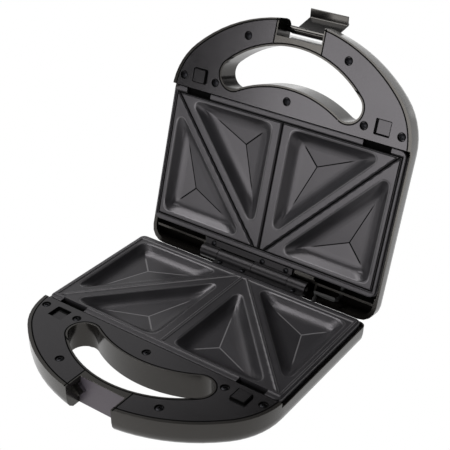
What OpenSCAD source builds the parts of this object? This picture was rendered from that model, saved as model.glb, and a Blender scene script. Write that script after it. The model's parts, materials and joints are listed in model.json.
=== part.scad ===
// Sandwich toaster with two hinged halves, shown open.
// Each half is built face up in its own frame: x to the right, -y towards the handle, and z = 0
// at the lip of its cooking plate, whose rear edge is at y = 0. The lid is that frame turned over.

/* [Cooking plates] */
// Width of a cooking plate, left to right
plate_w = 225; // [222:1:225]
// Depth of a cooking plate, rear edge to front edge
plate_d = 124; // [122:1:126]
// Height of a plate's side skirt
plate_skirt = 8; // [7:0.5:8.5]
// Thickness of the cast plate
plate_wall = 2.5; // [2:0.1:2.8]
// Depth of a pocket where its floor is deepest
pocket_depth = 8.3; // [7.8:0.1:8.6]
// Distance from the centre line to the front pockets
pocket_gap = 8.8; // [8:0.2:10]
// Distance from the front edge to the front pockets
pocket_front = 8.5; // [8:0.5:10]
// Distance from the diagonal to the pockets on either side
pocket_diag = 7; // [6.5:0.1:7.5]
// Distance from the side edge to the rear pockets
pocket_side = 7.5; // [7:0.5:9]
// Distance from the rear edge to the rear pockets
pocket_rear = 9.5; // [9:0.5:11]
// Radius of the pockets' corners
pocket_r = 6; // [5:0.5:7]
// Width of the channels and ridges between the lands
seal_w = 2.4; // [2:0.1:2.8]
// Depth of the channels in the upper plate
channel_depth = 1.2; // [0.8:0.1:1.4]
// Height of the ridges on the lower plate
ridge_h = 0.9; // [0.6:0.1:0.9]

/* [Shells] */
// Half width of the handle cover
cover_half_w = 112.3; // [112.3:0.1:113]
// Distance from the plate's front edge to the crest of the handle cover
handle_l = 77.4; // [75:0.2:80]
// Radius of the handle's long front arc
crest_r = 134; // [130:1:138]
// Radius of the handle's two corner arcs
corner_r = 59; // [57:0.5:61]
// Width of the shell's rim outside the handle cover
rim_w = 3.4; // [3.4:0.1:4]
// Wall thickness of the shells
shell_wall = 2.5; // [2.2:0.1:2.6]
// Depth of a shell under its plate's lip
shell_depth = 34; // [33:0.5:36]
// Drop of the shell's rim beside the plate
rim_drop = 4.5; // [4:0.1:5]
// Depth of the handle under its cover
handle_depth = 22.5; // [22:0.1:24]
// How far the lid's crest lies inside the base's
lid_crest_drop = 1.9; // [1.4:0.1:2]
// Reach of the base shell behind the plate
base_rear = 4; // [3.8:0.1:4.4]
// Reach of the lid shell behind the plate
lid_rear = 23; // [22.5:0.5:25]
// Thickness of the handle covers
cover_t = 2; // [1.8:0.1:2.4]
// Height of the rubber feet
foot_h = 4; // [3:0.5:6]
// Radius of the rubber feet
foot_r = 6.5; // [5.5:0.5:7]
// Radius of the supply lead's inlet
inlet_r = 3.2; // [2.8:0.1:3.6]

/* [Hand hole] */
// Distance from the plate's front edge to the far side of the hand hole
hole_far = 58.5; // [57.5:0.1:59]
// Radius of the hand hole's far side
hole_front_r = 93.5; // [92:0.5:95]
// Radius of the hand hole's rounded ends
hole_end_r = 14.2; // [13.8:0.1:14.4]
// Half distance between the centres of the hand hole's rounded ends
hole_end_x = 55.5; // [55:0.5:56]
// Distance from the plate's front edge to the bulge in the hand hole's near side
hole_near = 22; // [20:0.5:23]
// Thickness of the wall round the hand hole
hole_wall = 2; // [1.6:0.1:2.4]

/* [Hinge] */
// Opening angle of the lid
open_angle = 105.1; // [95:0.1:106]
// Gap between the lips of the closed plates
closed_gap = 1.2; // [1.2:0.1:1.5]
// Distance from the plate's rear edge to the hinge axis
hinge_reach = 12.3; // [12.2:0.1:12.6]
// Outer radius of the hinge knuckles
knuckle_r = 5.5; // [5:0.1:5.6]
// Length of the hinge barrel
barrel_l = 108; // [102:1:110]
// Radius of the hinge pin
pin_r = 2; // [1.6:0.1:2.4]
// Thickness of the hinge leaves
leaf_t = 2.5; // [2:0.1:3]

/* [Latch] */
// Width of the latch slot
slot_w = 42.6; // [42:0.2:44]
// Thickness of the slot's side walls
slot_wall = 1.6; // [1.4:0.1:2]
// Width of the rail between the hand hole and the slot
rail_w = 4.5; // [4:0.1:5]
// Width of the latch clip's arm
clip_w = 36.4; // [36:0.2:38]
// Thickness of the latch clip
clip_t = 1.5; // [1.3:0.1:1.6]
// Distance from the latch pin to the clip's hook
clip_reach = 29.9; // [29.2:0.1:30.2]
// Angle through which the latch clip swings
clip_swing = 153.4; // [145:0.1:156]
// Radius of the latch pin
latch_pin_r = 1.5; // [1.2:0.1:1.6]
// Depth of the latch pin under the lid's lip
latch_pin_z = 17.5; // [17.2:0.1:18]

/* [Heating] */
// Radius of the tubular heating elements
element_r = 3.2; // [2.8:0.1:3.3]
// Thickness of the sheet reflectors
reflector_t = 0.6; // [0.5:0.1:0.8]
// Radius of the thermostat's can
thermostat_r = 7; // [6:0.5:7.5]

/* [Hidden] */
$fn = 48;

shell_black = "#1c1b1a";
cover_black = "#2c2b2e";
plate_grey = "#4a494c";
screw_grey = "#3a393b";

// Clearances
fit_gap = 0.3;
snug_gap = 0.15;
pin_gap = 0.05;
over = 1;

// Places shared by several pieces
foot_z = shell_depth + foot_h;
shell_half_w = cover_half_w + rim_w;
plate_front_gap = 0.8;
cover_y = -(plate_d + plate_front_gap);
bulkhead_t = 2;
base_half = [base_rear, 0.2, 6, 0];
lid_half = [lid_rear, 0.55, 14, lid_crest_drop];
belly_u = plate_d - 10;
belly_rise_l = 17;

// Distances from the plate's rear edge
handle_reach = plate_d + handle_l;
hole_crest = plate_d + hole_far;
hole_bulge = plate_d + hole_near;

// Handle outline: a long front arc and two corner arcs
crest_y = -(handle_reach - crest_r);
corner_x = cover_half_w - corner_r;
corner_y = crest_y - sqrt(pow(crest_r - corner_r, 2) - pow(corner_x, 2));
arc_half = atan2(corner_x, crest_y - corner_y);

// Hand hole outline: a front arc, two round ends and a bulge between them
hole_front_y = -(hole_crest - hole_front_r);
hole_end_y = hole_front_y - sqrt(pow(hole_front_r - hole_end_r, 2) - pow(hole_end_x, 2));
hole_half = atan2(hole_end_x, hole_front_y - hole_end_y);
hole_step = -hole_end_y - hole_bulge;
bulge_r = (pow(hole_end_x, 2) + pow(hole_step, 2) - pow(hole_end_r, 2)) / (2 * (hole_end_r - hole_step));
bulge_y = bulge_r - hole_bulge;
bulge_half = atan2(hole_end_x, bulge_y - hole_end_y);

// Profile of a shell from rim to floor, as inset and share of the depth. base_half and lid_half
// hold the rear wall's place, its slope, the radius of the rear corners and the crest's drop.
shell_profile = [[0, 0], [0.4, 0.36], [1.2, 0.49], [3, 0.58], [6.5, 0.66], [13, 0.73], [21.5, 0.81],
    [33, 0.9], [46, 0.98], [56, 1]];

// Plate
plate_corner_r = 5;
notch_x = 88;
notch_l = 22;
notch_w = 5;
notch_depth = 2.2;
plate_rib = 0.6;
rib_z = 5;
seal_side = 3;
seal_band = 5.5;
half_w = plate_w / 2;
diag_slope = plate_d / half_w;
diag_shift = pocket_diag * sqrt(1 + pow(diag_slope, 2));
front_pocket = [[pocket_gap, -(diag_slope * pocket_gap + diag_shift)],
    [pocket_gap, -(plate_d - pocket_front)],
    [(plate_d - pocket_front - diag_shift) / diag_slope, -(plate_d - pocket_front)]];
rear_pocket = [[half_w - pocket_side, -pocket_rear],
    [(pocket_rear + diag_shift) / diag_slope, -pocket_rear],
    [half_w - pocket_side, -(diag_slope * (half_w - pocket_side) - diag_shift)]];
floor_inset = 10;
floor_rise = 1.6;
cup_bottom = pocket_depth + plate_wall;

// Heating
element_z = -(cup_bottom + 0.4 + element_r);
reflector_gap = 14.2;
reflector_x = shell_half_w - shell_wall - reflector_gap;
element_x = reflector_x - 15;
element_front = plate_d - 20;
element_rear = 24;
element_bend = 14;
element_end = 12;
element_drop = 8.5;
element_tail_r = 2;
clamp_t = 1;
clamp_w = 7;
clamp_reach = 9;
clamp_spots = [[element_x, 62, 0], [-element_x, 62, 0], [38, element_front, 90], [-38, element_front, 90]];
reflector_z = -20;
reflector_edge = 9;
reflector_rim = 4;
boss_r = 4;
post_r = 4.5;
boss_spots = [[half_w / 2, plate_d / 2], [-half_w / 2, plate_d / 2], [0, plate_d - 34], [0, 15]];
plate_screw_r = 1.4;
plate_head_r = 3;
plate_head_deep = 5;
plate_head_h = 2;
plate_screw_grip = 9;
thermostat_u = plate_d - 67;
thermostat_h = 7.5;
pad_u = plate_d - 48;
fuse_l = 12;
fuse_r = 2.2;
pad_z = -(cup_bottom + 0.7);

// Handle cover screws and the two squares beside them
outer_screw_u = plate_d + 10.2;
outer_screw = [corner_x + sqrt(pow(corner_r, 2) - pow(max(0, outer_screw_u + corner_y), 2)) - 5.3, outer_screw_u];
inner_screw = [72.1, plate_d + 10.7];
front_screw = [47.6, hole_crest - 1.6];
middle_screw_u = plate_d + 12.1;
cover_screws = [outer_screw, [-outer_screw[0], outer_screw[1]], inner_screw, [-inner_screw[0], inner_screw[1]],
    front_screw, [-front_screw[0], front_screw[1]], [0, middle_screw_u]];
cover_screw_r = 1.2;
cover_head_r = 2.7;
cover_head_deep = 1.2;
cover_head_low = 0.1;
cover_screw_l = 12;
cover_boss_r = 3.4;
square_x = 88.2;
square_u = plate_d + 13;
peg_size = [13, 11.6];
peg_h = 2;
peg_gap = 0.5;

// Hinge, with its knuckles as stretches along the barrel
leaf_z = -0.6;
leaf_front = 0.8;
leaf_rear = hinge_reach - knuckle_r - 0.5;
knuckle_gap = 0.4;
knuckles = [[-barrel_l / 3, 0], [barrel_l / 3, barrel_l / 2]];
leaf_screws = [-30, -6, 45];
leaf_screw_r = 1.5;
leaf_head_r = 2.3;
leaf_head_h = 1.4;
leaf_screw_y = 4;
leaf_screw_l = 11;
hinge_block_z = 14;
partition_z = 6;
link_x = 62;
link_joint_x = 72;
link_in_x = 80;
lead_r = 1.8;
lead_sides = 10;
link_z = -(plate_skirt + 3);

// Latch
slot_y = -(hole_crest + rail_w);
rail_back = 4;
latch_pin_y = slot_y - 5.7;
sleeve_r = latch_pin_r + 1.4;
hook_z = closed_gap + latch_pin_z - clip_reach;
nib_h = 7.5;
nib_edge = 1.4;
nib_grip = 2.6;
nib_front = 2.9;
ramp_run = 2.8;
ramp_drop = 22;
arm_t0 = nib_front + 0.7;
hook_lip = 3.5;
hook_rise = 1.7;
clip_curl = 1.5;
pin_hold = 3;
pin_boss_l = 6;

// Feet, inlet and lamps
foot_spots = [[74, plate_d - 11], [-74, plate_d - 11], [80, 12], [-80, 12]];
inlet_x = -70;
inlet_z = -18.6;
inlet_clear = 2;
bush_r = inlet_r + 1.8;
bush_lip = 1.5;
block_at = [-40, -30];
block_size = [26, 16, 10];
block_z = -26;
lamp_gap = 16;
lamp_u = plate_d - lamp_gap;
lamp_x = 9;
lens_r = 3;
board_z = -24.6;
board_t = 1.2;
board_post_x = 18;
board_half = [22, 6];
lamp_h = 4.5;

// The origin stands under the middle of the open object, from the base's front to the clip's edge
clip_arm = arm_t0 + clip_t;
hook_tip = [hook_lip, clip_reach + hook_rise + clip_t];
rear_end = max(clip_end([clip_curl - clip_arm, clip_reach + clip_t]) + clip_curl, clip_end(hook_tip));
front_end = crest_y - sqrt(pow(crest_r + rim_w, 2) - pow(slot_w / 2, 2));
origin_y = -(front_end + rear_end) / 2;

// ---------- Shapes ----------

function turned(p, a) = [p[0] * cos(a) - p[1] * sin(a), p[0] * sin(a) + p[1] * cos(a)];

// How far back a point of the clip's section lies when the object stands open
function clip_end(p) = let (q = [latch_pin_y, -latch_pin_z] + turned(p, clip_swing))
    turned([q[0] - hinge_reach, closed_gap - q[1]], -open_angle)[0] + hinge_reach;

function arc(c, r, a0, a1, n) = [for (i = [0:n])
    let (a = a0 + (a1 - a0) * i / n) [c[0] + r * cos(a), c[1] + r * sin(a)]];

function lift(points, z) = [for (p = points) [p[0], p[1], z]];

// Runs of points that meet end to end, with each meeting point kept once
function joined(runs) = [for (run = runs, i = [1:len(run) - 1]) run[i]];

function mirrored(points) = [for (i = [len(points) - 1:-1:0]) [-points[i][0], points[i][1]]];

// Points beyond the start of the corner arcs, drawn back so that the crest drops by drop
function drawn_back(points, drop) = let (k = 1 - drop / (handle_reach + rim_w + corner_y))
    [for (p = points) p[1] < corner_y ? [p[0], corner_y + (p[1] - corner_y) * k] : p];

// Outline of a shell at an inset from its rim, with its rear wall at rear_y
function shell_ring(inset, rear_y, rear_r, drop = 0) =
    let (w = shell_half_w - inset, r = max(rear_r - inset / 2, 3), n = 7,
        step = (90 - arc_half) / n,
        right = concat(
            arc([corner_x, corner_y], corner_r + rim_w - inset, -90 + arc_half + step, 0, n - 1),
            arc([w - r, rear_y - r], r, 0, 90, 4)))
    drawn_back(concat(arc([0, crest_y], crest_r + rim_w - inset, -90 - arc_half, -90 + arc_half, 22),
        right, mirrored(right)), drop);

// Outline of the hand hole, grown outwards
function hole_outline(grow) =
    let (right = joined([arc([0, hole_front_y], hole_front_r + grow, -90, -90 + hole_half, 12),
            arc([hole_end_x, hole_end_y], hole_end_r + grow, -90 + hole_half, 90 + bulge_half, 20),
            arc([0, bulge_y], bulge_r - grow, -90 + bulge_half, -90, 10)]),
        crest = [0, hole_front_y - hole_front_r - grow])
    joined([concat([crest], right), mirrored(concat([crest], right))]);

function unit(v) = v / norm(v);

// Outline of a triangle with round corners, inset from its edges, corners listed anticlockwise
function soft_triangle(t, inset, r) = [for (i = [0:2])
    let (p = t[i], a = unit(t[(i + 2) % 3] - p), b = unit(t[(i + 1) % 3] - p),
        c = p + unit(a + b) * (inset + r) / sin(acos(a * b) / 2),
        a0 = atan2(a[0], -a[1]), a1 = atan2(-b[0], b[1]))
    each arc(c, r, a0, a1 < a0 ? a1 + 360 : a1, 5)];

function inradius(t) = abs((t[1][0] - t[0][0]) * (t[2][1] - t[0][1]) - (t[2][0] - t[0][0]) * (t[1][1] - t[0][1]))
    / (norm(t[1] - t[0]) + norm(t[2] - t[1]) + norm(t[0] - t[2]));

// Solid through closed rings of equal length, from the top ring down, each anticlockwise from above
module loft(rings) {
    n = len(rings[0]);
    last = (len(rings) - 1) * n;
    polyhedron([for (r = rings) each r], concat(
        [[for (i = [n - 1:-1:0]) i]],
        [[for (i = [0:n - 1]) last + i]],
        [for (t = [0:n:last - 1], i = [0:n - 1]) let (j = (i + 1) % n)
            each [[t + i, t + j, t + n + j], [t + i, t + n + j, t + n + i]]]));
}

module rod_x(r, x0, x1) {
    translate([x0, 0, 0]) rotate([0, 90, 0]) cylinder(r = r, h = x1 - x0);
}

module box(low, high) {
    translate(low) cube(high - low);
}

// Ring of a lead's surface at a point, square to the way it runs
function lead_ring(points, i, r) =
    let (last = len(points) - 1, p = points[i],
        t = unit((i < last ? unit(points[i + 1] - p) : [0, 0, 0]) + (i > 0 ? unit(p - points[i - 1]) : [0, 0, 0])),
        u = unit(cross([0.35, 0.25, 0.9], t)), v = cross(t, u))
    [for (k = [0:lead_sides - 1]) p + r * (cos(360 * k / lead_sides) * u + sin(360 * k / lead_sides) * v)];

// Round lead along its points, the last ring first so that its faces point outwards
module lead(points, r) {
    loft([for (i = [len(points) - 1:-1:0]) lead_ring(points, i, r)]);
}

module at_spots(spots) {
    for (s = spots) translate([s[0], -s[1], 0]) children();
}

// Pan-head screw from z = 0 downwards, with a cross in its head
module screw(head_r, head_h, shank_r, length) {
    difference() {
        union() {
            translate([0, 0, -head_h]) cylinder(r = head_r, h = head_h, $fn = 24);
            translate([0, 0, -length]) cylinder(r = shank_r, h = length, $fn = 24);
        }
        for (a = [0, 90]) rotate(a)
            box([-head_r * 0.6, -0.4, -head_h * 0.6], [head_r * 0.6, 0.4, over]);
    }
}

// ---------- Frames ----------

module base_frame() {
    translate([0, origin_y, foot_z]) children();
}

module lid_frame() {
    base_frame() translate([0, hinge_reach, 0]) rotate([-open_angle, 0, 0])
        translate([0, -hinge_reach, closed_gap]) rotate([0, 180, 0]) children();
}

module clip_frame() {
    lid_frame() translate([0, latch_pin_y, -latch_pin_z]) rotate([clip_swing, 0, 0]) children();
}

// ---------- Parts of one half ----------

// Space under the handle, where a shell is shallower than under its plate
module under_handle(floor_lift) {
    far = 2 * handle_reach;
    rotate([90, 0, 90]) translate([0, 0, -shell_half_w - over]) linear_extrude(2 * (shell_half_w + over))
        polygon([[-belly_u, floor_lift - shell_depth], [-belly_u, -far], [-far, -far],
            [-far, floor_lift - handle_depth], [-belly_u - belly_rise_l, floor_lift - handle_depth]]);
}

module shell_solid(half, inset, floor_lift, top) {
    difference() {
        loft([for (p = shell_profile)
            lift(shell_ring(p[0] + inset, half[0] - half[1] * p[0] - inset, half[2], half[3]),
                p[1] == 0 ? top : floor_lift - shell_depth * p[1])]);
        under_handle(floor_lift);
    }
}

module slot_cut(ramp) {
    foot = slot_y - (ramp ? ramp_run : 0);
    rotate([90, 0, 90]) translate([0, 0, -slot_w / 2]) linear_extrude(slot_w)
        polygon([[slot_y, over], [slot_y, 0], [foot, -ramp_drop], [foot, -shell_depth - over],
            [foot - handle_reach, -shell_depth - over], [foot - handle_reach, over]]);
}

// Walls and posts that stand inside a shell and end at its outer skin
module shell_inside(half, foot) {
    translate([0, 0, -shell_depth]) linear_extrude(shell_depth) difference() {
        polygon(hole_outline(0));
        polygon(hole_outline(-hole_wall));
    }
    translate([0, 0, -rim_drop - 3]) linear_extrude(rim_drop + 3) difference() {
        polygon(shell_ring(0, half[0], half[2], half[3]));
        polygon(shell_ring(rim_w, half[0] - rim_w, half[2]));
    }
    box([-slot_w / 2 - slot_wall, foot - slot_wall, -shell_depth],
        [slot_w / 2 + slot_wall, rail_back - hole_crest, 0]);
    for (s = [-1, 1]) scale([s, 1, 1])
        box([slot_w / 2, -handle_reach - rim_w, -shell_depth], [slot_w / 2 + slot_wall, slot_y, 0]);
    box([-shell_half_w, cover_y - bulkhead_t, -shell_depth], [shell_half_w, cover_y, -cover_t]);
    at_spots(cover_screws) translate([0, 0, -shell_depth])
        cylinder(r = cover_boss_r, h = shell_depth - cover_t);
    at_spots(boss_spots) translate([0, 0, -shell_depth])
        cylinder(r = post_r, h = shell_depth + reflector_z - reflector_t);
}

// Seat of a handle cover's edge in the shell's wall
module cover_seat() {
    translate([0, 0, -cover_t]) linear_extrude(cover_t + over) difference() {
        polygon(shell_ring(rim_w, 0, base_half[2]));
        polygon(shell_ring(rim_w + shell_wall, 0, base_half[2]));
        translate([-slot_w / 2 - slot_wall, -2 * handle_reach])
            square([slot_w + 2 * slot_wall, 2 * handle_reach]);
        translate([-2 * shell_half_w, cover_y]) square([4 * shell_half_w, 2 * handle_reach]);
    }
}

module shell(half, ramp) {
    difference() {
        union() {
            difference() {
                shell_solid(half, 0, 0, 0);
                shell_solid(half, shell_wall, shell_wall, over);
            }
            intersection() {
                shell_solid(half, 0, 0, 0);
                union() {
                    shell_inside(half, slot_y - (ramp ? ramp_run : 0));
                    children();
                }
            }
        }
        box([-shell_half_w - over, cover_y, -rim_drop], [shell_half_w + over, half[0] + over, over]);
        box([-half_w - plate_rib - fit_gap, cover_y, -plate_skirt - fit_gap],
            [half_w + plate_rib + fit_gap, plate_rib + fit_gap, over]);
        translate([0, 0, -shell_depth - over]) linear_extrude(shell_depth + 2 * over)
            polygon(hole_outline(-hole_wall));
        slot_cut(ramp);
        if (half[3] > 0) cover_seat();
        at_spots(cover_screws) translate([0, 0, -cover_screw_l - over])
            cylinder(r = cover_screw_r + pin_gap, h = cover_screw_l + 2 * over, $fn = 24);
        at_spots(boss_spots) {
            translate([0, 0, -shell_depth - over])
                cylinder(r = plate_screw_r + pin_gap, h = shell_depth, $fn = 24);
            translate([0, 0, -shell_depth - over])
                cylinder(r = plate_head_r + fit_gap, h = plate_head_deep + over, $fn = 24);
        }
    }
}

module leaf_screw_holes() {
    for (x = leaf_screws) translate([x, leaf_screw_y, leaf_z - leaf_screw_l - over])
        cylinder(r = leaf_screw_r + pin_gap, h = leaf_screw_l + 2 * over, $fn = 24);
}

module handle_cover() {
    color(cover_black) difference() {
        union() {
            intersection() {
                translate([0, 0, -cover_t]) linear_extrude(cover_t)
                    polygon(shell_ring(rim_w + snug_gap, 0, base_half[2]));
                box([-shell_half_w, -handle_reach - over, -cover_t - over], [shell_half_w, cover_y, over]);
            }
            translate([square_x, -square_u, -cover_t])
                box([-peg_size[0] / 2, -peg_size[1] / 2, 0], [peg_size[0] / 2, peg_size[1] / 2, cover_t + peg_h]);
            translate([-square_x, -square_u, -cover_t - peg_h])
                box([-peg_size[0] / 2 - 2, -peg_size[1] / 2 - 2, 0],
                    [peg_size[0] / 2 + 2, peg_size[1] / 2 + 2, peg_h + over]);
        }
        translate([0, 0, -cover_t - over]) linear_extrude(cover_t + 2 * over)
            polygon(hole_outline(snug_gap));
        box([-slot_w / 2 - slot_wall - snug_gap, -handle_reach - over, -cover_t - over],
            [slot_w / 2 + slot_wall + snug_gap, rail_back + snug_gap - hole_crest, over]);
        translate([-square_x, -square_u, -peg_h - peg_gap])
            box([-peg_size[0] / 2 - peg_gap, -peg_size[1] / 2 - peg_gap, 0],
                [peg_size[0] / 2 + peg_gap, peg_size[1] / 2 + peg_gap, peg_h + peg_gap + over]);
        at_spots(cover_screws) {
            translate([0, 0, -cover_head_deep])
                cylinder(r = cover_head_r + 0.4, h = cover_head_deep + over, $fn = 24);
            translate([0, 0, -cover_t - over])
                cylinder(r = cover_screw_r + pin_gap, h = cover_t + 2 * over, $fn = 24);
        }
    }
}

module cover_screw_set() {
    color(screw_grey) at_spots(cover_screws) translate([0, 0, -cover_head_low])
        screw(cover_head_r, cover_head_deep - cover_head_low, cover_screw_r, cover_screw_l - cover_head_low);
}

// Lines of the seal: a frame, the centre line and the two diagonals
module seal_lines(z0, z1) {
    w = seal_w / 2;
    x = half_w - seal_side;
    translate([0, 0, z0]) linear_extrude(z1 - z0) {
        difference() {
            translate([-x - w, -plate_d + seal_band - w])
                square([2 * (x + w), plate_d - 2 * (seal_band - w)]);
            translate([-x + w, -plate_d + seal_band + w])
                square([2 * (x - w), plate_d - 2 * (seal_band + w)]);
        }
        intersection() {
            translate([-x, -plate_d + seal_band]) square([2 * x, plate_d - 2 * seal_band]);
            union() {
                translate([-w, -plate_d]) square([2 * w, plate_d]);
                for (s = [-1, 1]) rotate(s * atan2(half_w, plate_d) - 90)
                    translate([0, -w]) square([2 * plate_d, 2 * w]);
            }
        }
    }
}

module plate_blank(grow, z0, z1) {
    w = half_w + grow;
    r = plate_corner_r + grow;
    outline = concat(arc([w - r, grow - r], r, 0, 90, 6), arc([r - w, grow - r], r, 90, 180, 6),
        arc([r - w, -plate_d - grow + r], r, 180, 270, 6),
        arc([w - r, -plate_d - grow + r], r, 270, 360, 6));
    translate([0, 0, z0]) linear_extrude(z1 - z0) polygon(outline);
}

// Inside of a pocket, or with a wall its outside
module pocket(t, wall) {
    steep = pocket_depth - floor_rise;
    out = wall * 0.8;
    loft([for (q = [[0, wall == 0 ? over : 0.4 * wall, pocket_r], [0, wall == 0 ? -0.3 : 0, pocket_r],
            [1.2, -steep * 0.25, pocket_r - 1], [3.4, -steep * 0.6, pocket_r - 2.4],
            [6, -steep * 0.86, pocket_r - 3.4], [floor_inset, -steep, 1.6],
            [inradius(t) + out - 0.4, -pocket_depth, 0.2]])
        lift(soft_triangle(t, q[0] - out, q[2]), q[1] - wall)]);
}

module pockets(wall) {
    for (s = [0, 1]) mirror([s, 0, 0]) for (t = [front_pocket, rear_pocket]) pocket(t, wall);
}

// Pocket cups, screw bosses, element seats and notch backs under a plate
module plate_underside() {
    pockets(plate_wall);
    at_spots(boss_spots) translate([0, 0, reflector_z]) cylinder(r = boss_r, h = -reflector_z - 1);
    for (p = clamp_spots) translate([p[0], -p[1], 0]) rotate(p[2])
        box([-clamp_reach, -clamp_w / 2, element_z + element_r + pin_gap], [clamp_reach, clamp_w / 2, -1]);
    for (s = [-1, 1]) box([s * notch_x - notch_l / 2 - 2, -plate_d + 1, -notch_depth - 2],
        [s * notch_x + notch_l / 2 + 2, -plate_d + notch_w + 2, -1]);
}

module cooking_plate(ridged) {
    color(plate_grey) difference() {
        union() {
            difference() {
                union() {
                    plate_blank(0, -plate_skirt, 0);
                    plate_blank(plate_rib, -rib_z - plate_rib, -rib_z);
                }
                plate_blank(-plate_wall, -plate_skirt - over, -plate_wall);
            }
            plate_underside();
            children();
            if (ridged) seal_lines(-over, ridge_h);
        }
        pockets(0);
        if (!ridged) seal_lines(-channel_depth, over);
        for (s = [-1, 1]) box([s * notch_x - notch_l / 2, -plate_d - over, -notch_depth],
            [s * notch_x + notch_l / 2, -plate_d + notch_w, over]);
        at_spots(boss_spots) translate([0, 0, reflector_z - over])
            cylinder(r = plate_screw_r + pin_gap, h = plate_screw_grip + 2 * over, $fn = 24);
    }
}

module plate_screw_set() {
    head_z = plate_head_deep - plate_head_h - shell_depth;
    color(screw_grey) at_spots(boss_spots) translate([0, 0, head_z]) rotate([180, 0, 0])
        screw(plate_head_r, plate_head_h, plate_screw_r, reflector_z + plate_screw_grip - head_z);
}

module element() {
    x = element_x - element_bend;
    y0 = -(element_rear + element_bend);
    y1 = -(element_front - element_bend);
    color("#8f8c88") translate([0, 0, element_z]) {
        translate([0, -element_front, 0]) rod_x(element_r, -x, x);
        for (s = [-1, 1]) {
            translate([s * element_x, y1, 0]) rotate([-90, 0, 0]) cylinder(r = element_r, h = y0 - y1);
            translate([0, -element_rear, 0]) rod_x(element_r, min(s * x, s * element_end), max(s * x, s * element_end));
            translate([s * element_end, -element_rear, 0]) {
                sphere(r = element_r);
                translate([0, 0, -element_drop]) cylinder(r = element_tail_r, h = element_drop);
            }
            for (c = [[y0, s > 0 ? 0 : 90], [y1, s > 0 ? 270 : 180]]) translate([s * x, c[0], 0]) rotate(c[1])
                rotate_extrude(angle = 90) translate([element_bend, 0]) circle(r = element_r, $fn = 24);
        }
    }
}

// Saddle clamps with their rivets
module clamps() {
    color("#b8b6b1") for (p = clamp_spots) translate([p[0], -p[1], element_z]) rotate(p[2]) {
        difference() {
            rotate([90, 0, 0]) translate([0, 0, -clamp_w / 2])
                cylinder(r = element_r + pin_gap + clamp_t, h = clamp_w);
            rotate([90, 0, 0]) translate([0, 0, -clamp_w / 2 - over])
                cylinder(r = element_r + pin_gap, h = clamp_w + 2 * over);
            box([-clamp_reach, -clamp_w, 0], [clamp_reach, clamp_w, clamp_reach]);
        }
        for (s = [-1, 1]) scale([s, 1, 1]) {
            box([element_r + pin_gap, -clamp_w / 2, 0], [element_r + pin_gap + clamp_t, clamp_w / 2, element_r]);
            box([element_r + pin_gap, -clamp_w / 2, element_r - clamp_t], [clamp_reach, clamp_w / 2, element_r]);
            translate([(element_r + clamp_t + clamp_reach) / 2, 0, element_r - clamp_t - 0.8])
                cylinder(r = 1.3, h = 1, $fn = 24);
        }
    }
}

module reflector(thermostat_hole) {
    y0 = -plate_d + reflector_edge;
    color("#cfcfcb") translate([0, 0, reflector_z - reflector_t]) difference() {
        union() {
            box([-reflector_x, y0, 0], [reflector_x, -reflector_edge, reflector_t]);
            difference() {
                box([-reflector_x, y0, 0], [reflector_x, -reflector_edge, reflector_rim]);
                box([-reflector_x + reflector_t, y0 + reflector_t, -over],
                    [reflector_x - reflector_t, -reflector_edge - reflector_t, reflector_rim + over]);
            }
        }
        at_spots(boss_spots) translate([0, 0, -over])
            cylinder(r = plate_screw_r + fit_gap, h = reflector_t + 2 * over, $fn = 24);
        for (s = [-1, 1]) translate([s * element_end, -element_rear, -over])
            cylinder(r = element_tail_r + 1.5, h = reflector_t + 2 * over);
        if (thermostat_hole) translate([0, -thermostat_u, -over])
            cylinder(r = thermostat_r + 1.5, h = reflector_t + 2 * over);
    }
}

// Hinge leaf with its two knuckles, their axis at axis_z
module hinge_leaf(axis_z, bore_r) {
    color("#9b9893") difference() {
        union() {
            box([knuckles[0][0], leaf_front, leaf_z - leaf_t], [knuckles[1][1], leaf_rear, leaf_z]);
            for (k = knuckles) {
                x0 = k[0] + knuckle_gap / 2;
                x1 = k[1] - knuckle_gap / 2;
                box([x0, leaf_front, leaf_z - leaf_t], [x1, hinge_reach, axis_z]);
                translate([0, hinge_reach, axis_z]) rod_x(knuckle_r, x0, x1);
            }
        }
        for (k = knuckles) box([k[0] - over, leaf_front - over, leaf_z], [k[1] + over, leaf_rear, axis_z + over]);
        translate([0, hinge_reach, axis_z]) rod_x(bore_r, -barrel_l, barrel_l);
        leaf_screw_holes();
    }
}

module leaf_screw_set() {
    color("#b9b7b2") for (x = leaf_screws) translate([x, leaf_screw_y, leaf_z + leaf_head_h])
        screw(leaf_head_r, leaf_head_h, leaf_screw_r, leaf_screw_l);
}

module clip() {
    color("#2a292b") difference() {
        union() {
            rod_x(sleeve_r, -slot_w / 2 + 0.4, slot_w / 2 - 0.4);
            rotate([90, 0, 90]) translate([0, 0, -clip_w / 2]) linear_extrude(clip_w)
                polygon(concat([[-clip_arm, 1], [1 - clip_arm, 1 - sleeve_r], [0, -0.8 * sleeve_r],
                    [0, 0.8 * sleeve_r], [-arm_t0, clip_arm], [-arm_t0, clip_reach], hook_tip - [0, clip_t], hook_tip],
                    arc([clip_curl - clip_arm, clip_reach + clip_t], clip_curl,
                        2 * atan(hook_rise / (hook_lip + clip_arm)), 180, 12)));
        }
        rod_x(latch_pin_r + pin_gap, -slot_w, slot_w);
    }
}

// ---------- Sub-parts of the base ----------

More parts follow.
